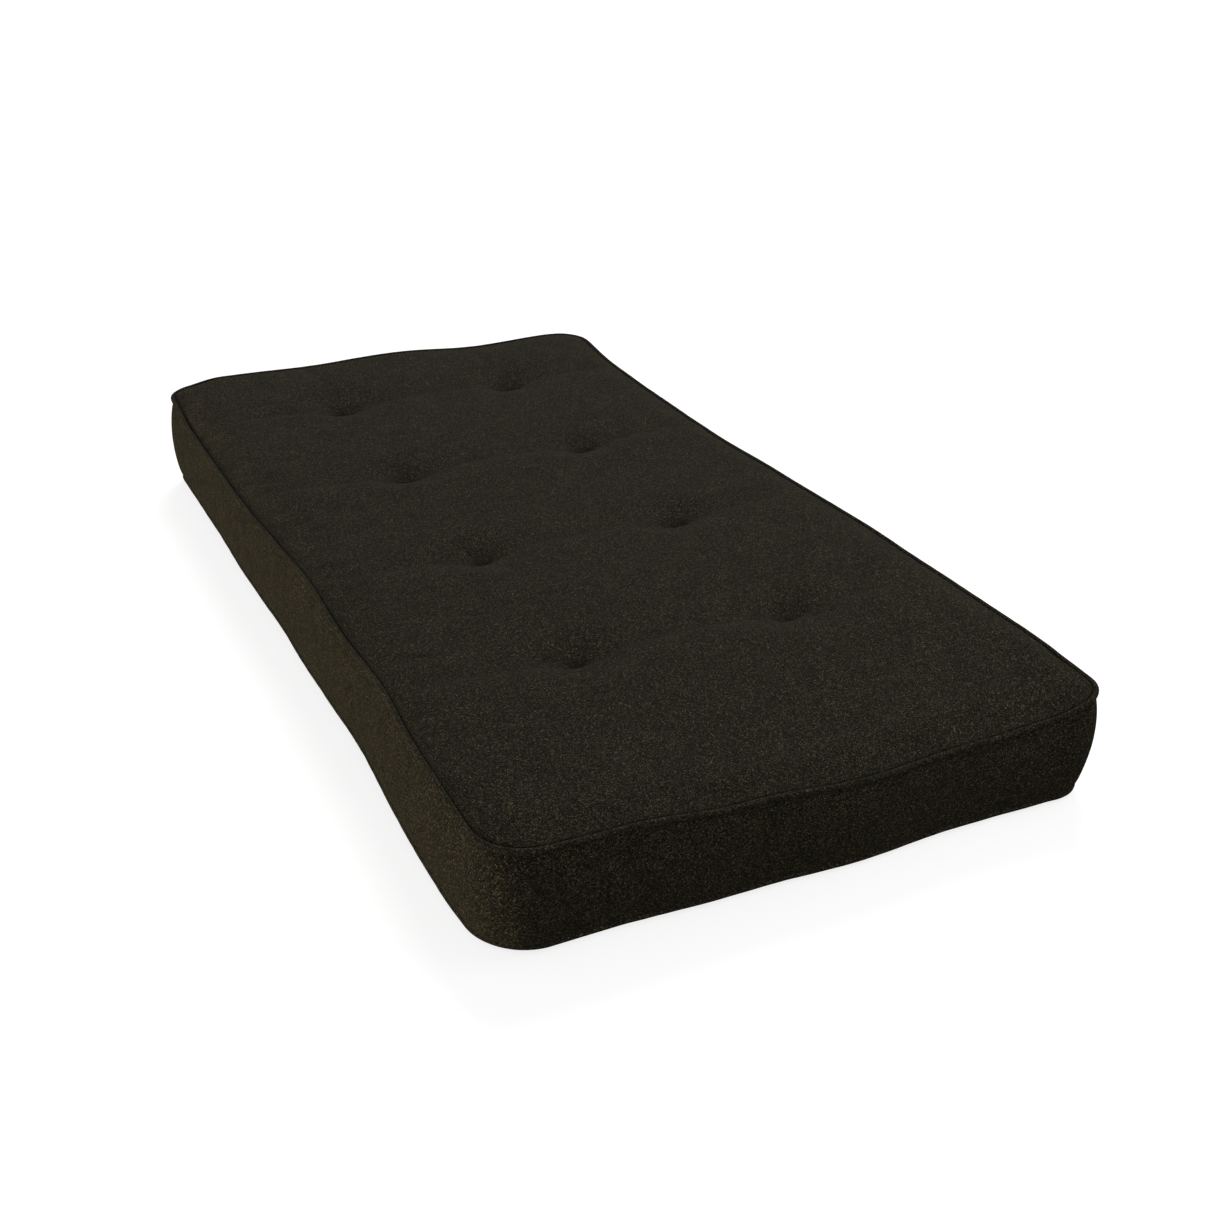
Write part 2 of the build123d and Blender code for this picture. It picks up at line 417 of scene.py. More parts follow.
def cloth_place(face, cage_co):
    """Where a point lies on its own flat cloth, in metres."""
    if face.material_index != BAND:
        level = round(-cage_co.z)
        return rounded_plan(cage_co.x, cage_co.y, cloth_inset(min(level, LEVELS - level)))
    x, y = rounded_plan(cage_co.x, cage_co.y, 0)
    centre = face.calc_center_median()
    down = (TOP_SEAM - BOTTOM_SEAM) * (-cage_co.z - SEAM_LEVEL) / BAND_ROWS
    across_end = abs(centre.x) > abs(centre.y)
    return (y if across_end else x, -down)


def start_casing():
    """The whole cover before it is filled out, its panels told apart by material index."""
    bm = cage(GRID_X, GRID_Y, LEVELS)
    cloth = bm.loops.layers.uv.new("Cloth")
    level_layer = bm.verts.layers.float.new("level")
    for face in bm.faces:
        face.material_index = panel_of(face)
        for loop in face.loops:
            loop[cloth].uv = cloth_place(face, loop.vert.co)
    for vert in bm.verts:
        level = round(-vert.co.z)
        vert[level_layer] = level
        vert.co = cage_place(vert.co.x, vert.co.y, level)
    for level, height in ((0, top_height), (LEVELS, under_height)):
        field = [v for v in bm.verts if round(v[level_layer]) == level]
        gather_at_tufts(field)
        for v in field:
            v.co.z = height(v.co.x, v.co.y)
    return add_piece("casing", bm)


# How far round a tuft, and beside a row, the cloth is drawn in
GATHER_REACH = 150 * MM
GATHER_SHIFT = 45 * MM
GATHER_SPREAD = 36 * MM
GATHER_SHARE = 0.6
ROW_GATHER_SPREAD = 45 * MM
ROW_GATHER_SHARE = 0.35
ROW_GATHER_END = 50 * MM
ROW_GATHER_FADE = 60 * MM


def bell(distance, spread):
    """1 at no distance, fading smoothly past the spread."""
    return math.exp(-((distance / spread) ** 2))


def gather_at_tufts(field):
    """Brings a point of a layer to each tuft, and draws the rest in round it and to its row."""
    for tuft in TUFTS:
        near = [v for v in field if (v.co.xy - tuft).length < GATHER_REACH]
        closest = min(near, key=lambda v: (v.co.xy - tuft).length)
        shift = tuft - closest.co.xy
        for v in near:
            v.co.xy += shift * bell((v.co.xy - tuft).length, GATHER_SHIFT)
            drawn = GATHER_SHARE * bell((v.co.xy - tuft).length, GATHER_SPREAD)
            v.co.xy += (tuft - v.co.xy) * drawn
    for v in field:
        row = min(TUFT_ROWS, key=lambda place: abs(v.co.x - place))
        inner = smooth((HALF_WIDTH - ROW_GATHER_END - abs(v.co.y)) / ROW_GATHER_FADE)
        drawn = ROW_GATHER_SHARE * inner * bell(v.co.x - row, ROW_GATHER_SPREAD)
        v.co.x += (row - v.co.x) * drawn


TUFT_HOLD = 8 * MM
REST_HOLD = 1 * MM
SEAM_HOLD = 0.8
STIFF_ROWS = 0.7


def fill_out(casing):
    """Puffs the cover out over its filling by cloth simulation, within a few millimetres."""
    mesh = casing.data
    start = [v.co.copy() for v in mesh.vertices]
    levels = [round(value.value) for value in mesh.attributes["level"].data]
    held = casing.vertex_groups.new(name="held")
    for v, level in zip(mesh.vertices, levels):
        at_tuft = min((v.co.xy - tuft).length for tuft in TUFTS) < TUFT_HOLD
        if level in (0, LEVELS) and at_tuft:
            held.add([v.index], 1.0, "REPLACE")
        elif level == LEVELS and v.co.z < REST_HOLD:
            held.add([v.index], 1.0, "REPLACE")
        elif level in (SEAM_LEVEL, LEVELS - SEAM_LEVEL):
            held.add([v.index], SEAM_HOLD, "REPLACE")
    cloth = casing.modifiers.new("filling", "CLOTH")
    settings = cloth.settings
    settings.quality = 6
    settings.mass = 0.35
    settings.tension_stiffness = 25
    settings.compression_stiffness = 12
    settings.shear_stiffness = 6
    settings.bending_stiffness = 0.6
    settings.air_damping = 4
    settings.use_pressure = True
    settings.uniform_pressure_force = 4
    settings.vertex_group_mass = "held"
    settings.pin_stiffness = 4
    settings.shrink_min = -0.006
    settings.effector_weights.gravity = 0
    cloth.point_cache.frame_start = 1
    cloth.point_cache.frame_end = FILL_STEPS
    for step in range(1, FILL_STEPS + 1):
        bpy.context.scene.frame_set(step)
    graph = bpy.context.evaluated_depsgraph_get()
    filled = casing.evaluated_get(graph)
    moved = [v.co.copy() for v in filled.to_mesh().vertices]
    filled.to_mesh_clear()
    casing.modifiers.clear()
    for v, before, after in zip(mesh.vertices, start, moved):
        move = after - before
        limit = FILL_LIMIT * (1 - STIFF_ROWS * row_valley(before.x, before.y))
        if move.length > limit:
            move *= limit / move.length
        near_fold = math.exp(-(((v.co.x - FOLD.x) / FOLD_REACH) ** 4))
        v.co = before + move
        v.co.z = max(0, v.co.z)
        v.co.z -= max(0, v.co.z - HEIGHT) * near_fold
    bpy.context.scene.frame_set(1)


def applied(piece, kind, **settings):
    """Gives a piece a modifier and makes it permanent."""
    modifier = piece.modifiers.new(kind.lower(), kind)
    for name, value in settings.items():
        setattr(modifier, name, value)
    graph = bpy.context.evaluated_depsgraph_get()
    mesh = bpy.data.meshes.new_from_object(piece.evaluated_get(graph))
    piece.modifiers.clear()
    old, piece.data = piece.data, mesh
    bpy.data.meshes.remove(old)
    mesh.name = piece.name
    return piece


casing = start_casing()
fill_out(casing)
applied(casing, "SUBSURF", levels=1, render_levels=1)
for v in casing.data.vertices:
    v.co.z = max(0, v.co.z)


def wall(piece, thickness):
    """Gives a sheet its thickness, inwards."""
    solid = piece.modifiers.new("cloth thickness", "SOLIDIFY")
    solid.thickness = thickness
    solid.offset = -1
    solid.use_even_offset = True
    return piece


def cut_panel(panel):
    """One of the casing's three pieces, cut from the filled-out cover along its seams."""
    bm = bmesh.new()
    bm.from_mesh(casing.data)
    others = [face for face in bm.faces if face.material_index != panel]
    bmesh.ops.delete(bm, geom=others, context="FACES")
    for face in bm.faces:
        face.material_index = 0
    return bm


def rim_loop(bm):
    """The places round a panel's edge, in order and anticlockwise from above."""
    first = max((v for v in bm.verts if v.is_boundary), key=lambda v: (v.co.x, v.co.y))
    loop, last = [first], None
    while True:
        here = loop[-1]
        onward = [
            edge.other_vert(here)
            for edge in here.link_edges
            if edge.is_boundary and edge.other_vert(here) is not last
        ]
        following = onward[0] if last or onward[0].co.y > here.co.y else onward[1]
        if following is first:
            return [v.co.copy() for v in loop]
        last = here
        loop.append(following)


JOIN_Y = -0.333
JOIN_GROOVE = 1.6 * MM
JOIN_HALF = 4 * MM
NEAR_END_START = 0.85 * HALF_LENGTH


def crease_join(bm):
    """The plain seam where the two ends of the boxing strip meet, on the near end."""
    for offset in (-JOIN_HALF, 0, JOIN_HALF):
        near_end = [face for face in bm.faces if face.calc_center_median().x > NEAR_END_START]
        edges = list({edge for face in near_end for edge in face.edges})
        verts = list({vert for face in near_end for vert in face.verts})
        bmesh.ops.bisect_plane(
            bm,
            geom=verts + edges + near_end,
            dist=1e-6,
            plane_co=(0, JOIN_Y + offset, 0),
            plane_no=(0, 1, 0),
        )
    for v in bm.verts:
        if v.co.x > NEAR_END_START and abs(v.co.y - JOIN_Y) < 0.5 * MM:
            v.co.x -= JOIN_GROOVE


top_bm = cut_panel(TOP)
band_bm = cut_panel(BAND)
under_bm = cut_panel(UNDER)
top_rim = rim_loop(top_bm)
under_rim = rim_loop(under_bm)
crease_join(band_bm)
top_panel = wall(add_piece("top_panel", top_bm), CLOTH_THICKNESS)
boxing = wall(add_piece("boxing", band_bm), CLOTH_THICKNESS)
bottom_panel = wall(add_piece("bottom_panel", under_bm), CLOTH_THICKNESS)


# Piping: a strip of the same cloth folded round a cord and caught in the seam

LAP_START_Y = -0.265
LAP_LENGTH = 34 * MM
LAP_SWELL = 0.20
LAP_DROP = 1.5 * MM


def seam_line(rim, out):
    """The line that the piping follows, set out from the seam."""
    line = []
    for before, here, after in zip(rim[-1:] + rim[:-1], rim, rim[1:] + rim[:1]):
        outward = (after - before).cross(Vector((0, 0, 1)))
        line.append(here + outward.normalized() * out)
    return line


def lap(place):
    """Share of the swelling where the strip's folded end laps over its start."""
    if place.x < NEAR_END_START or not 0 <= place.y - LAP_START_Y < LAP_LENGTH:
        return 0
    return 1 - smooth((place.y - LAP_START_Y) / LAP_LENGTH)


def tube(name, line, radius, closed=True, half_sides=6, swell=0, map_name="Cloth"):
    """A round tube along a line, with a map in metres: along it, and round it."""
    curve = bpy.data.curves.new(name, "CURVE")
    curve.dimensions = "3D"
    curve.bevel_depth = radius
    curve.bevel_resolution = half_sides - 2
    curve.use_fill_caps = not closed
    spline = curve.splines.new("POLY")
    spline.points.add(len(line) - 1)
    for point, place in zip(spline.points, line):
        point.co = (*place, 1)
        point.radius = 1 + swell * lap(place)
    spline.use_cyclic_u = closed
    holder = bpy.data.objects.new(name, curve)
    bpy.context.scene.collection.objects.link(holder)
    graph = bpy.context.evaluated_depsgraph_get()
    mesh = bpy.data.meshes.new_from_object(holder.evaluated_get(graph))
    bpy.data.objects.remove(holder)
    bpy.data.curves.remove(curve)
    mesh.name = name
    map_tube(mesh, line, radius, 2 * half_sides, map_name)
    for polygon in mesh.polygons:
        polygon.use_smooth = True
    piece = bpy.data.objects.new(name, mesh)
    bpy.context.scene.collection.objects.link(piece)
    return piece


def map_tube(mesh, line, radius, sides, map_name):
    """Lays a tube's map out flat, its rings in order."""
    while mesh.uv_layers:
        mesh.uv_layers.remove(mesh.uv_layers[0])
    layer = mesh.uv_layers.new(name=map_name)
    step = (line[1] - line[0]).length
    rings = len(line)
    for polygon in mesh.polygons:
        numbers = [mesh.loops[i].vertex_index for i in polygon.loop_indices]
        ring = [n // sides for n in numbers]
        place = [n % sides for n in numbers]
        last_ring = max(ring) - min(ring) > 1
        last_place = max(place) - min(place) > 1
        for i, r, p in zip(polygon.loop_indices, ring, place):
            r += rings if last_ring and r == 0 else 0
            p += sides if last_place and p == 0 else 0
            layer.data[i].uv = (r * step, p * 2 * math.pi * radius / sides)


top_line = [p - Vector((0, 0, LAP_DROP * lap(p))) for p in seam_line(top_rim, PIPING_OUT)]
under_line = seam_line(under_rim, UNDER_PIPING_OUT)
CORD_RADIUS = PIPING_RADIUS - PIPING_CLOTH - 0.2 * MM
top_piping_cover = tube("top_piping_cover", top_line, PIPING_RADIUS, swell=LAP_SWELL)
bottom_piping_cover = tube("bottom_piping_cover", under_line, PIPING_RADIUS)
top_piping_cord = tube("top_piping_cord", top_line, CORD_RADIUS, half_sides=4)
bottom_piping_cord = tube("bottom_piping_cord", under_line, CORD_RADIUS, half_sides=4)
wall(top_piping_cover, PIPING_CLOTH)
wall(bottom_piping_cover, PIPING_CLOTH)


# Filling: five layers, each shaped to the space between the panels

LAYER_STEP = 20 * MM
LAYER_INSETS = (16 * MM, 7 * MM, 2 * MM)
LAYER_ROUNDING = (0, 0.10, 0.32)
ROUNDED_THICKNESS = 30 * MM
LAYER_GAP = 0.3 * MM
TUFT_CLEARANCE = 4 * MM
CLEARANCE_SPREAD = 30 * MM
SIDE_GAP = 5 * MM
SKIN_REACH = 30 * MM
SKIN_GAP = CLOTH_THICKNESS + 0.6 * MM
LAYER_ROWS = 2
LAYERS = ("bottom_batting", "lower_foam", "middle_batting", "upper_foam", "top_batting")

casing_bm = bmesh.new()
casing_bm.from_mesh(casing.data)
skin = BVHTree.FromBMesh(casing_bm)
casing_bm.free()
inside_low = CLOTH_THICKNESS
inside_high = HEIGHT - CLOTH_THICKNESS


def share_of(height):
    """A height in the flat part of the filling, as a share of the whole."""
    return (height - inside_low) / (inside_high - inside_low)


def layer_shares(name):
    """The shares at which a layer starts and ends."""
    low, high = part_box(f"{name}_seat")
    if name == "bottom_batting":
        return 0, share_of(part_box("lower_foam_seat")[0].z)
    if name == "top_batting":
        return share_of(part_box("upper_foam_seat")[1].z), 1
    if name == "middle_batting":
        return share_of(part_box("lower_foam_seat")[1].z), share_of(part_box("upper_foam_seat")[0].z)
    return share_of(low.z), share_of(high.z)


def space_at(x, y):
    """The lowest and highest that the filling may be at a place."""
    top = skin.ray_cast(Vector((x, y, HEIGHT / 2)), Vector((0, 0, 1)))[0]
    bottom = skin.ray_cast(Vector((x, y, HEIGHT / 2)), Vector((0, 0, -1)))[0]
    at_tuft = max(bell((Vector((x, y)) - tuft).length, CLEARANCE_SPREAD) for tuft in TUFTS)
    gap = SKIN_GAP + TUFT_CLEARANCE * at_tuft
    return bottom.z + gap, top.z - gap


def kept_inside(place):
    """The place, or the nearest that is clear of the cover."""
    surface, normal, _, distance = skin.find_nearest(place)
    inside = (surface - place).dot(normal)
    if inside < SKIN_GAP and distance < SKIN_REACH:
        return place - normal * (SKIN_GAP - inside)
    return place


def make_layer(name):
    """A layer of the filling, which thins to the edges and is drawn in at the tufts."""
    low_share, high_share = layer_shares(name)
    inner = len(LAYER_INSETS) - 1
    levels = 2 * inner + LAYER_ROWS
    columns = round(2 * HALF_LENGTH / LAYER_STEP)
    rows = round(2 * HALF_WIDTH / LAYER_STEP)
    bm = cage(columns, rows, levels)
    layer_map = bm.loops.layers.uv.new("Cloth")
    level_of = {vert: round(-vert.co.z) for vert in bm.verts}
    for vert, level in level_of.items():
        inset = LAYER_INSETS[min(level, levels - level, inner)] + SIDE_GAP
        x, y = rounded_plan(vert.co.x, vert.co.y, inset, 1)
        vert.co = settle(Vector((x, y, HEIGHT / 2)))
    for side in (0, levels):
        gather_at_tufts([vert for vert, level in level_of.items() if level == side])
    for vert, level in level_of.items():
        x, y, _ = vert.co
        low, high = space_at(x, y)
        bottom = low + (high - low) * low_share + LAYER_GAP
        top = low + (high - low) * high_share - LAYER_GAP
        rounding = LAYER_ROUNDING[min(level, levels - level, inner)]
        rounding *= min(top - bottom, ROUNDED_THICKNESS)
        top, bottom = top - rounding, bottom + rounding
        down = min(1, max(0, (level - inner) / LAYER_ROWS))
        vert.co = kept_inside(Vector((x, y, top + (bottom - top) * down)))
    for face in bm.faces:
        for loop in face.loops:
            loop[layer_map].uv = loop.vert.co.xy
    return add_piece(name, bm)


layers = {name: make_layer(name) for name in LAYERS}
discard(casing)


# Tuft ties: two-ply twine taken through and back, knotted underneath

PLY_RADIUS = 0.58 * MM
PLY_OFFSET = 0.54 * MM
TWIST_PITCH = 7 * MM
TWIST_STEPS = 9
TIE_CORNER = 2.4 * MM
KNOT_SIZE = 1.05 * MM
KNOT_POINTS = 60


def cover_at(tuft):
    """The cover's highest and lowest faces where a tie lies across it."""
    offsets = (-TWINE_SPAN / 2, 0, TWINE_SPAN / 2)
    places = [Vector((tuft.x, tuft.y + offset, HEIGHT / 2)) for offset in offsets]
    top = max(skin.ray_cast(place, Vector((0, 0, 1)))[0].z for place in places)
    bottom = min(skin.ray_cast(place, Vector((0, 0, -1)))[0].z for place in places)
    return top, bottom


def tie_loop(tuft):
    """The line of one tie: up, across the dimple, down and back underneath."""
    top, bottom = cover_at(tuft)
    high = top + TWINE_GAP + TWINE_DIAMETER / 2
    low = bottom - TWINE_GAP - TWINE_DIAMETER / 2
    half = TWINE_SPAN / 2
    corners = [(-half, low), (half, low), (half, high), (-half, high)]
    line = []
    for (y0, z0), (y1, z1) in zip(corners, corners[1:] + corners[:1]):
        run = Vector((0, y1 - y0, z1 - z0))
        ahead = run.normalized()
        start = Vector((tuft.x, tuft.y + y0, z0)) + ahead * TIE_CORNER
        length = run.length - 2 * TIE_CORNER
        count = max(1, round(length / (TWIST_PITCH / TWIST_STEPS)))
        line += [start + ahead * length * k / count for k in range(count + 1)]
        turned = Vector((0, -ahead.z, ahead.y))
        corner = line[-1] + turned * TIE_CORNER
        for k in (1, 2, 3):
            angle = k * math.pi / 8
            line.append(corner + (ahead * math.sin(angle) - turned * math.cos(angle)) * TIE_CORNER)
    return line


def ply(line, phase):
    """One of the two plies, wound round the tie's line a whole number of times."""
    count = len(line)
    turns = round(count / TWIST_STEPS)
    wound = []
    for k, here in enumerate(line):
        ahead = (line[(k + 1) % count] - line[k - 1]).normalized()
        side = Vector((1, 0, 0))
        other = ahead.cross(side)
        angle = 2 * math.pi * (turns * k / count + phase)
        wound.append(here + (side * math.cos(angle) + other * math.sin(angle)) * PLY_OFFSET)
    return wound


def knot_line(tuft):
    """An overhand knot in the twine, under the bottom panel."""
    middle = Vector((tuft.x, tuft.y, cover_at(tuft)[1] - TWINE_GAP - 2 * TWINE_DIAMETER))
    line = []
    for k in range(KNOT_POINTS):
        t = 2 * math.pi * k / KNOT_POINTS
        x = math.cos(t) - 2 * math.cos(2 * t)
        y = math.sin(t) + 2 * math.sin(2 * t)
        line.append(middle + Vector((x * 0.8, y, -math.sin(3 * t))) * KNOT_SIZE)
    return line


def make_ties(half, rows):
    """The four ties of one half, as one piece."""
    bm = bmesh.new()
    for tuft in [Vector((x, side * TUFT_COLUMN)) for x in rows for side in (-1, 1)]:
        line = tie_loop(tuft)
        runs = [(ply(line, phase), PLY_RADIUS) for phase in (0, 0.5)]
        runs.append((knot_line(tuft), TWINE_DIAMETER / 2))
        for path, radius in runs:
            strand = tube("strand", path, radius, half_sides=3)
            bm.from_mesh(strand.data)
            discard(strand)
    return add_piece(f"tuft_ties_{half}_twine", bm)


ties = {
    "back": make_ties("back", TUFT_ROWS[:2]),
    "seat": make_ties("seat", TUFT_ROWS[2:]),
}


# Materials


def linear(hex_colour):
    """An sRGB hex colour as linear red, green, blue and alpha."""
    channels = [int(hex_colour[i : i + 2], 16) / 255 for i in (1, 3, 5)]
    return [c / 12.92 if c <= 0.04045 else ((c + 0.055) / 1.055) ** 2.4 for c in channels] + [1]


def add(tree, kind, inputs=None, **settings):
    """Adds a node with its settings; an input is a value or another node's output."""
    node = tree.nodes.new(kind)
    for name, value in settings.items():
        setattr(node, name, value)
    for name, value in (inputs or {}).items():
        if isinstance(value, bpy.types.NodeSocket):
            tree.links.new(value, node.inputs[name])
        else:
            node.inputs[name].default_value = value
    return node


def ramp(tree, factor, stops, interpolation="LINEAR"):
    """A colour ramp through (place, hex colour) stops."""
    node = add(tree, "ShaderNodeValToRGB", {"Fac": factor})
    node.color_ramp.interpolation = interpolation
    elements = node.color_ramp.elements
    while len(elements) < len(stops):
        elements.new(0.5)
    for element, (place, colour) in zip(elements, stops):
        element.position = place
        element.color = linear(colour)
    return node.outputs["Color"]


def noise_texture(tree, place, size, **inputs):
    """Noise about that size across."""
    return add(tree, "ShaderNodeTexNoise", {"Vector": place, "Scale": 1 / size, **inputs})


def wave_scale(pitch):
    """The scale at which a wave texture repeats at that pitch."""
    return 1 / pitch / math.tau * 2


def surface(tree, shader, colour, relief, strength, depth, roughness):
    """Gives a shader its colour, its relief and its roughness."""
    bump = add(tree, "ShaderNodeBump", {"Height": relief, "Strength": strength, "Distance": depth})
    tree.links.new(colour, shader.inputs["Base Color"])
    tree.links.new(bump.outputs["Normal"], shader.inputs["Normal"])
    shader.inputs["Roughness"].default_value = roughness


def start_material(name):
    """A material with its shader, and its tree."""
    material = bpy.data.materials.new(name)
    material.use_nodes = True
    return material, material.node_tree, material.node_tree.nodes["Principled BSDF"]


# The yarn's nubs, its fibres, the slow unevenness of its shade and the ribs of the weave
NUB = 1.6 * MM
FIBRE = 0.9 * MM
HEATHER = 55 * MM
RIB = 5 * MM

MARL = (
    (0.000, "#0F0F0A"),
    (0.120, "#181710"),
    (0.280, "#1F1E16"),
    (0.460, "#25231A"),
    (0.620, "#292822"),
    (0.740, "#343126"),
    (0.860, "#423C2A"),
    (0.940, "#4B4531"),
    (0.972, "#381F18"),
    (0.987, "#5F563C"),
)


def woven_nub_cloth(name, turn=0.0, lift=1.0):
    """Woven polyester with nubby marled yarn: dark, dull, flecked with beige and rust, with painted
    shade in the gaps between the nubs.
    """
    material, tree, shader = start_material(name)
    flat = add(tree, "ShaderNodeUVMap", uv_map="Cloth").outputs["UV"]
    turned = add(
        tree,
        "ShaderNodeMapping",
        {"Vector": flat, "Rotation": (0, 0, turn)},
    ).outputs["Vector"]
    # Threads run a little out of line
    stray = noise_texture(tree, turned, 9 * MM, Detail=2)
    strayed = add(
        tree,
        "ShaderNodeVectorMath",
        {0: stray.outputs["Color"], 1: (1.6 * MM, 1.6 * MM, 0), 2: turned},
        operation="MULTIPLY_ADD",
    ).outputs["Vector"]
    nubs = add(
        tree,
        "ShaderNodeTexVoronoi",
        {"Vector": strayed, "Scale": 1 / NUB, "Randomness": 0.9},
        voronoi_dimensions="2D",
    )
    each = add(tree, "ShaderNodeSeparateColor", {"Color": nubs.outputs["Color"]})
    marl = ramp(tree, each.outputs["Red"], MARL, "CONSTANT")
    # Painted shade: the colour darkens to a quarter in the gaps between the nubs; the same dome
    # gives the nubs their relief
    nub_dome_and_gap_shade = add(
        tree,
        "ShaderNodeMapRange",
        {
            "Value": nubs.outputs["Distance"],
            "From Min": 0.25,
            "From Max": 0.75,
            "To Min": 1,
            "To Max": 0.25,
        },
        interpolation_type="SMOOTHSTEP",
    ).outputs["Result"]
    heather = noise_texture(tree, turned, HEATHER, Detail=3)
    shade = add(
        tree,
        "ShaderNodeMapRange",
        {
            "Value": heather.outputs["Fac"],
            "From Min": 0.3,
            "From Max": 0.7,
            "To Min": 0.86 * lift,
            "To Max": 1.12 * lift,
        },
    ).outputs["Result"]
    # The painted gap shade, times the cloth's slow unevenness of tone
    light = add(tree, "ShaderNodeMath", {0: nub_dome_and_gap_shade, 1: shade}, operation="MULTIPLY").outputs["Value"]
    coloured = add(
        tree,
        "ShaderNodeVectorMath",
        {0: marl, "Scale": light},
        operation="SCALE",
    ).outputs["Vector"]
    fibre = noise_texture(tree, strayed, FIBRE, Detail=2)
    rib = add(
        tree,
        "ShaderNodeTexWave",
        {"Vector": strayed, "Scale": wave_scale(RIB), "Distortion": 1.5, "Detail": 1},
        bands_direction="X",
    )
    relief = add(
        tree,
        "ShaderNodeMath",
        {0: fibre.outputs["Fac"], 1: 0.35, 2: nub_dome_and_gap_shade},
        operation="MULTIPLY_ADD",
    ).outputs["Value"]
    ribbed = add(
        tree,
        "ShaderNodeMath",
        {0: rib.outputs["Fac"], 1: 0.22, 2: relief},
        operation="MULTIPLY_ADD",
    ).outputs["Value"]
    surface(tree, shader, coloured, ribbed, strength=0.36, depth=1 * MM, roughness=0.93)
    shader.inputs["Specular IOR Level"].default_value = 0.06
    shader.inputs["Sheen Weight"].default_value = 0.015
    shader.inputs["Sheen Roughness"].default_value = 0.5
    shader.inputs["Sheen Tint"].default_value = linear("#CBB992")
    return material


def fibre_fleece():
    """Bonded polyester fibre batting: off-white, lofty, with crossing fibres."""
    material, tree, shader = start_material("polyester_fibre_batting_bonded")
    place = add(tree, "ShaderNodeTexCoord").outputs["Object"]
    clumps = noise_texture(tree, place, 14 * MM, Detail=6).outputs["Fac"]
    fibres = noise_texture(tree, place, 3 * MM, Detail=4, Distortion=2.5).outputs["Fac"]
    colour = ramp(tree, clumps, ((0.3, "#D9D5C8"), (0.5, "#E9E6DC"), (0.75, "#F3F1EA")))
    surface(tree, shader, colour, fibres, strength=0.6, depth=2 * MM, roughness=1)
    shader.inputs["Sheen Weight"].default_value = 0.3
    return material


def open_cell_foam():
    """Polyurethane foam, slab-cut: cream, dull, pitted with open cells drawn at 2 mm, with painted
    shade in each pit.
    """
    material, tree, shader = start_material("polyurethane_foam_slab_cut")
    place = add(tree, "ShaderNodeTexCoord").outputs["Object"]
    voronoi = add(tree, "ShaderNodeTexVoronoi", {"Vector": place, "Scale": 1 / (2 * MM)})
    cells = voronoi.outputs["Distance"]
    # Painted shade: the colour darkens towards the middle of each open cell's pit
    colour = ramp(tree, cells, ((0.0, "#C9B98A"), (0.35, "#E6D9AE"), (0.7, "#EFE4C0")))
    surface(tree, shader, colour, cells, strength=0.5, depth=0.6 * MM, roughness=0.95)
    return material


def twisted_yarn(name, yarn_colours_and_groove_shade, pitch, turn):
    """Twisted cotton or waxed polyester: diagonal plies over the yarn's own colour, with painted
    shade in the grooves between them.
    """
    material, tree, shader = start_material(name)
    flat = add(tree, "ShaderNodeUVMap", uv_map="Cloth").outputs["UV"]
    turned = add(
        tree,
        "ShaderNodeMapping",
        {"Vector": flat, "Rotation": (0, 0, turn)},
    ).outputs["Vector"]
    plies = add(
        tree,
        "ShaderNodeTexWave",
        {"Vector": turned, "Scale": wave_scale(pitch), "Distortion": 0.6},
    ).outputs["Fac"]
    # Painted shade: the ramp's darker end falls in the grooves between the plies
    colour = ramp(tree, plies, yarn_colours_and_groove_shade)
    surface(tree, shader, colour, plies, strength=0.6, depth=0.4 * MM, roughness=0.7)
    return material


cover_cloth = woven_nub_cloth("polyester_tweed_woven_nubby")
piping_cloth = woven_nub_cloth("polyester_tweed_bias_strip", turn=math.radians(45), lift=1.05)
batting = fibre_fleece()
foam = open_cell_foam()
# The first stop of each yarn's ramp below is painted shade for the grooves between its plies
filler = twisted_yarn(
    "cotton_filler_cord_twisted",
    ((0, "#B9AE96"), (0.6, "#DDD5C2"), (1, "#EDE7D8")),
    pitch=4 * MM,
    turn=math.radians(35),
)
twine = twisted_yarn(
    "polyester_twine_waxed",
    ((0, "#1E1B14"), (0.6, "#3A3428"), (1, "#544B3A")),
    pitch=0.8 * MM,
    turn=math.radians(30),
)


def finish_piece(piece, material, kinds):
    """Gives a piece its material in a single slot, and hides the CAD nodes it stands for."""
    piece.data.materials.clear()
    piece.data.materials.append(material)
    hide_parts(*kinds)


def both_halves(kind):
    """The two CAD nodes of a piece that the fold parts."""
    return (f"{kind}_seat", f"{kind}_back")


across = [
    (top_panel, cover_cloth, "cover_fabric"),
    (boxing, cover_cloth, "cover_fabric"),
    (bottom_panel, cover_cloth, "cover_fabric"),
    (top_piping_cover, piping_cloth, "piping_fabric"),
    (bottom_piping_cover, piping_cloth, "piping_fabric"),
    (top_piping_cord, filler, "filler_cord"),
    (bottom_piping_cord, filler, "filler_cord"),
]
for name, layer in layers.items():
    is_foam = name.endswith("foam")
    across.append((layer, foam if is_foam else batting, "foam" if is_foam else "batting"))
for piece, material, slot in across:
    finish_piece(piece, material, both_halves(piece.name))
    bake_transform(piece)
for half, piece in ties.items():
    finish_piece(piece, twine, [f"tuft_ties_{half}"])
    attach(piece, half)


# Camera

CAMERA_BACK = 3.1764
CAMERA_RIGHT = 0.1039
CAMERA_UP = -0.0042
AZIMUTH = math.radians(65.05)
ELEVATION = math.radians(26.88)
LENS = 49.35


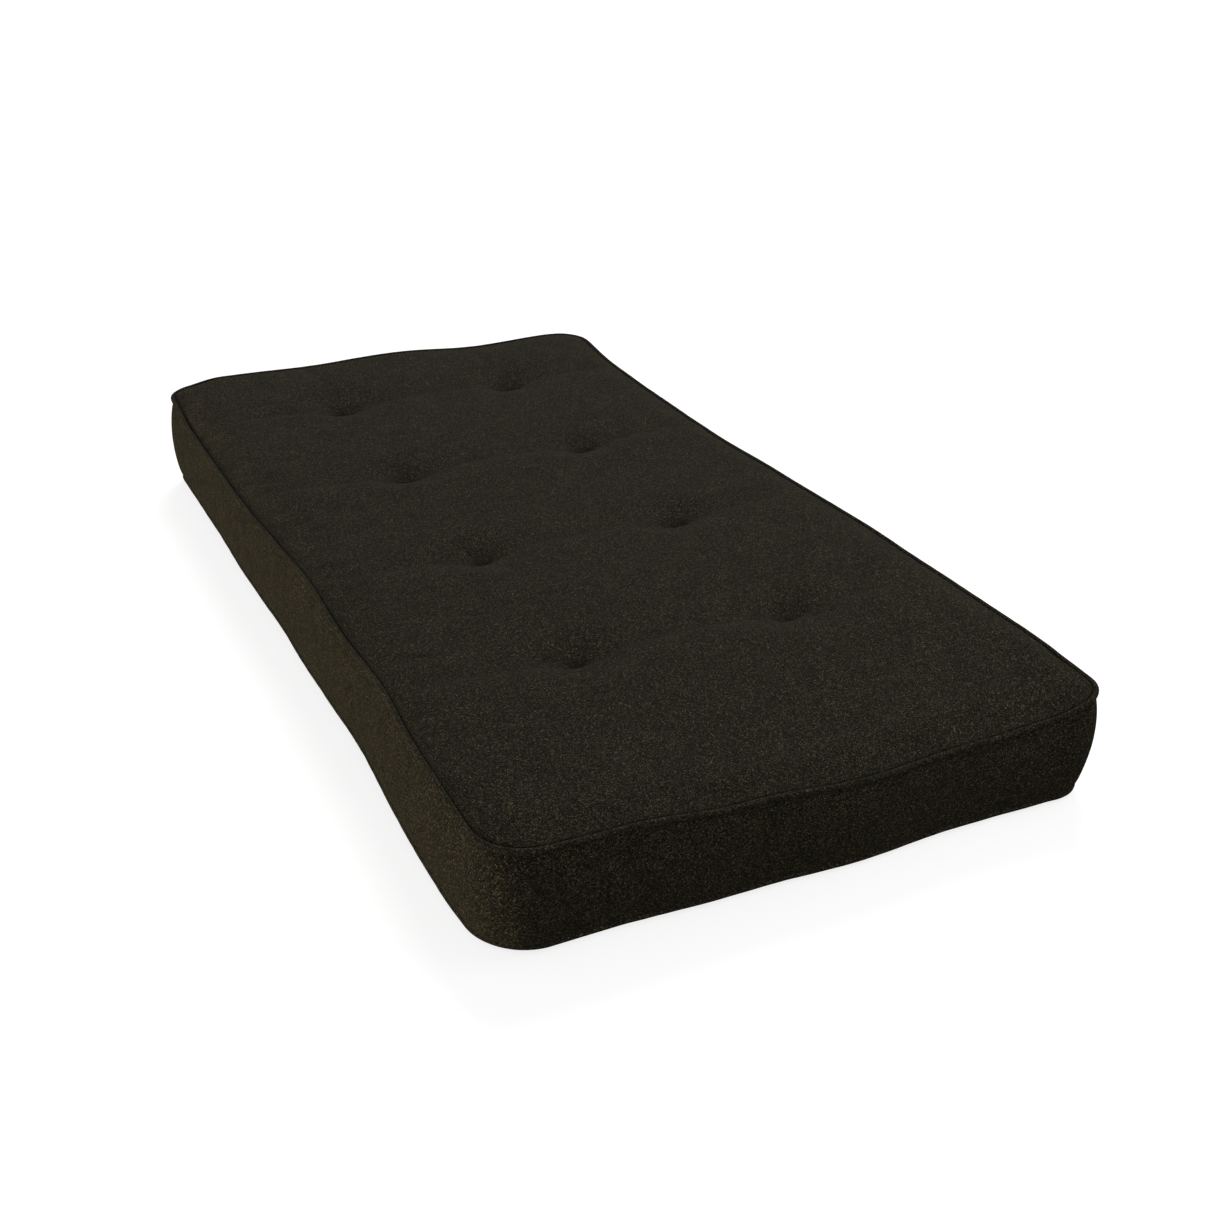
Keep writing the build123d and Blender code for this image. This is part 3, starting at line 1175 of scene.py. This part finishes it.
def make_camera():
    """The camera, looking down the length from the near left corner."""
    level = Vector((math.sin(AZIMUTH), -math.cos(AZIMUTH), 0))
    back = level * math.cos(ELEVATION) + Vector((0, 0, math.sin(ELEVATION)))
    right = Vector((math.cos(AZIMUTH), math.sin(AZIMUTH), 0))
    data = bpy.data.cameras.new("camera")
    data.lens = LENS
    data.clip_end = 100
    camera = bpy.data.objects.new("camera", data)
    camera.location = right * CAMERA_RIGHT + back.cross(right) * CAMERA_UP + back * CAMERA_BACK
    camera.rotation_euler = (-back).to_track_quat("-Z", "Y").to_euler()
    bpy.context.scene.collection.objects.link(camera)
    bpy.context.scene.camera = camera


# Studio: white paper, soft light from above and behind, and light off the paper on the left


def sun(name, from_place, strength, spread, colour):
    """A soft light from one direction."""
    light = bpy.data.lights.new(name, "SUN")
    light.energy = strength
    light.angle = math.radians(spread)
    light.color = colour
    lamp = bpy.data.objects.new(name, light)
    lamp.rotation_euler = (-Vector(from_place)).to_track_quat("-Z", "Y").to_euler()
    lamp.location = Vector(from_place) * 4
    bpy.context.scene.collection.objects.link(lamp)


def softbox(place, power, side):
    """A square lamp that looks at the middle of the floor."""
    light = bpy.data.lights.new("softbox", "AREA")
    light.energy = power
    light.size = side
    lamp = bpy.data.objects.new("softbox", light)
    lamp.rotation_euler = (-Vector(place)).to_track_quat("-Z", "Y").to_euler()
    lamp.location = place
    lamp.visible_camera = False
    bpy.context.scene.collection.objects.link(lamp)


FLOOR_HALF = 30
FLOOR_GAP = 0.5 * MM


def make_studio():
    """The sky, the lamps and the floor."""
    world = bpy.data.worlds.new("studio")
    world.use_nodes = True
    tree = world.node_tree
    place = add(tree, "ShaderNodeTexCoord").outputs["Generated"]
    height = add(tree, "ShaderNodeSeparateXYZ", {"Vector": place}).outputs["Z"]
    sky = ramp(tree, height, ((0.0, "#202020"), (0.02, "#E8E8E8"), (0.6, "#FFFFFF")))
    background = tree.nodes["Background"]
    tree.links.new(sky, background.inputs["Color"])
    background.inputs["Strength"].default_value = 0.42
    # Past the edge of the floor there is only white paper
    paper = add(tree, "ShaderNodeBackground", {"Color": (1, 1, 1, 1)}).outputs["Background"]
    seen = add(tree, "ShaderNodeLightPath").outputs["Is Camera Ray"]
    lit = background.outputs["Background"]
    mixed = add(tree, "ShaderNodeMixShader", {0: seen, 1: lit, 2: paper}).outputs["Shader"]
    tree.links.new(mixed, tree.nodes["World Output"].inputs["Surface"])
    bpy.context.scene.world = world
    sun("key", (-0.62, 0.36, 0.70), strength=1.8, spread=24, colour=(1, 0.985, 0.96))
    sun("left bounce", (-0.30, -0.93, -0.21), strength=3.8, spread=16, colour=(1, 0.91, 0.74))
    sun("front", (0.97, -0.06, 0.18), strength=1.15, spread=16, colour=(1, 0.97, 0.93))
    softbox((1.3, 1.3, 1.7), power=7.5, side=1.4)
    bm = bmesh.new()
    bmesh.ops.create_grid(bm, x_segments=1, y_segments=1, size=FLOOR_HALF)
    bmesh.ops.translate(bm, verts=bm.verts, vec=(0, 0, -FLOOR_GAP))
    floor = add_piece("floor", bm)
    material, tree, shader = start_material("floor_paper_matt")
    grain = add(tree, "ShaderNodeTexNoise", {"Scale": 1 / (60 * MM)})
    colour = ramp(tree, grain.outputs["Fac"], ((0.3, "#9A9A9A"), (0.7, "#9E9E9E")))
    tree.links.new(colour, shader.inputs["Base Color"])
    shader.inputs["Roughness"].default_value = 1
    shader.inputs["Emission Color"].default_value = (1, 1, 1, 1)
    shader.inputs["Emission Strength"].default_value = 0.80
    floor.data.materials.append(material)
    floor.visible_diffuse = False
    floor.visible_glossy = False
    # The left light comes up off the paper, as light does that has already met it
    floor.visible_shadow = False


make_camera()
make_studio()
bpy.context.scene.view_settings.view_transform = "Standard"
